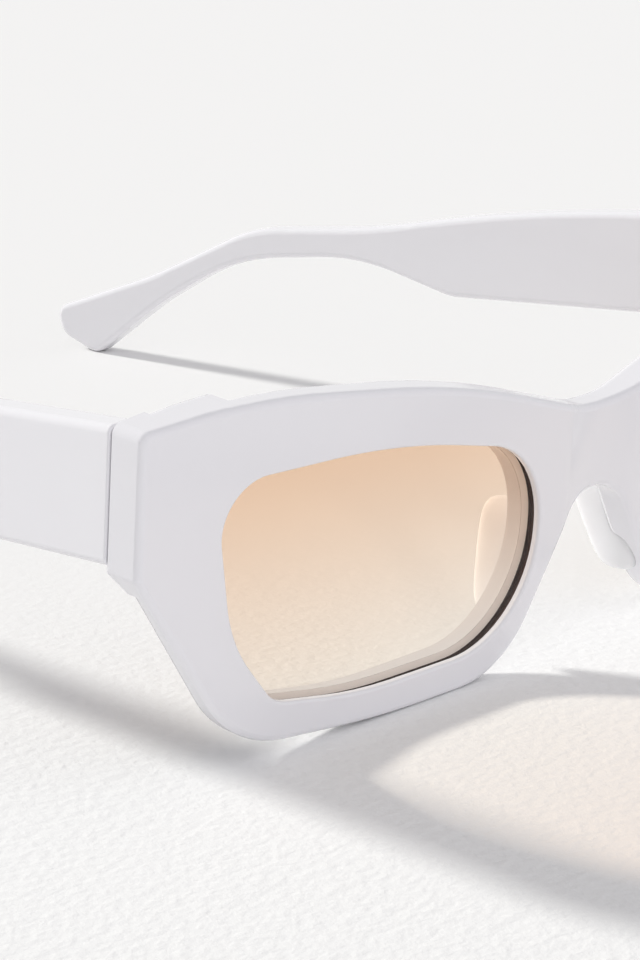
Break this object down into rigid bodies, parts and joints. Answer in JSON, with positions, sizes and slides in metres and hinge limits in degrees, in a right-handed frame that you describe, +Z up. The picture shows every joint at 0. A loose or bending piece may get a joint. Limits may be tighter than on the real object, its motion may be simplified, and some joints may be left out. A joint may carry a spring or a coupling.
{
  "type": "cat eye sunglasses",
  "caption": "Cat eye sunglasses with a thick white acetate front, peach gradient lenses and broad folding temples that narrow to drop tips.",
  "frame": {"origin": "on the standing surface, under the middle of the open sunglasses", "axes": "+X towards the wearer's left, the front faces -Y, the temples run back along +Y, +Z up"},
  "size_m": [0.1394, 0.1548, 0.0404],
  "materials": {
    "acetate": "polished white acetate",
    "lens": "clear tint, peach at the top fading to cream at the bottom",
    "pad": "polished white acetate, slightly translucent",
    "hinge": "nickel silver",
    "screw": "polished steel",
    "core": "satin wire"
  },
  "bodies": {
    "front": {"frame_front": "acetate", "lens_left": "lens", "nose_pad_left": "pad", "hinge_front_leaf_left": "hinge", "hinge_screw_left": "screw", "lens_right": "lens", "nose_pad_right": "pad", "hinge_front_leaf_right": "hinge", "hinge_screw_right": "screw"},
    "temple_left_arm": {"temple_left": "acetate", "temple_core_left": "core", "hinge_temple_leaf_left": "hinge"},
    "temple_right_arm": {"temple_right": "acetate", "temple_core_right": "core", "hinge_temple_leaf_right": "hinge"}
  },
  "joints": [
    {"name": "temple_left_fold", "type": "hinge", "parent": "front", "child": "temple_left_arm", "pos_m": [0.06364, -0.06827, 0.03205], "axis": [0, -0.0785, 0.9969], "range_deg": [0, 86]},
    {"name": "temple_right_fold", "type": "hinge", "parent": "front", "child": "temple_right_arm", "pos_m": [-0.06364, -0.06827, 0.03205], "axis": [0, 0.0785, -0.9969], "range_deg": [0, 76]}
  ]
}
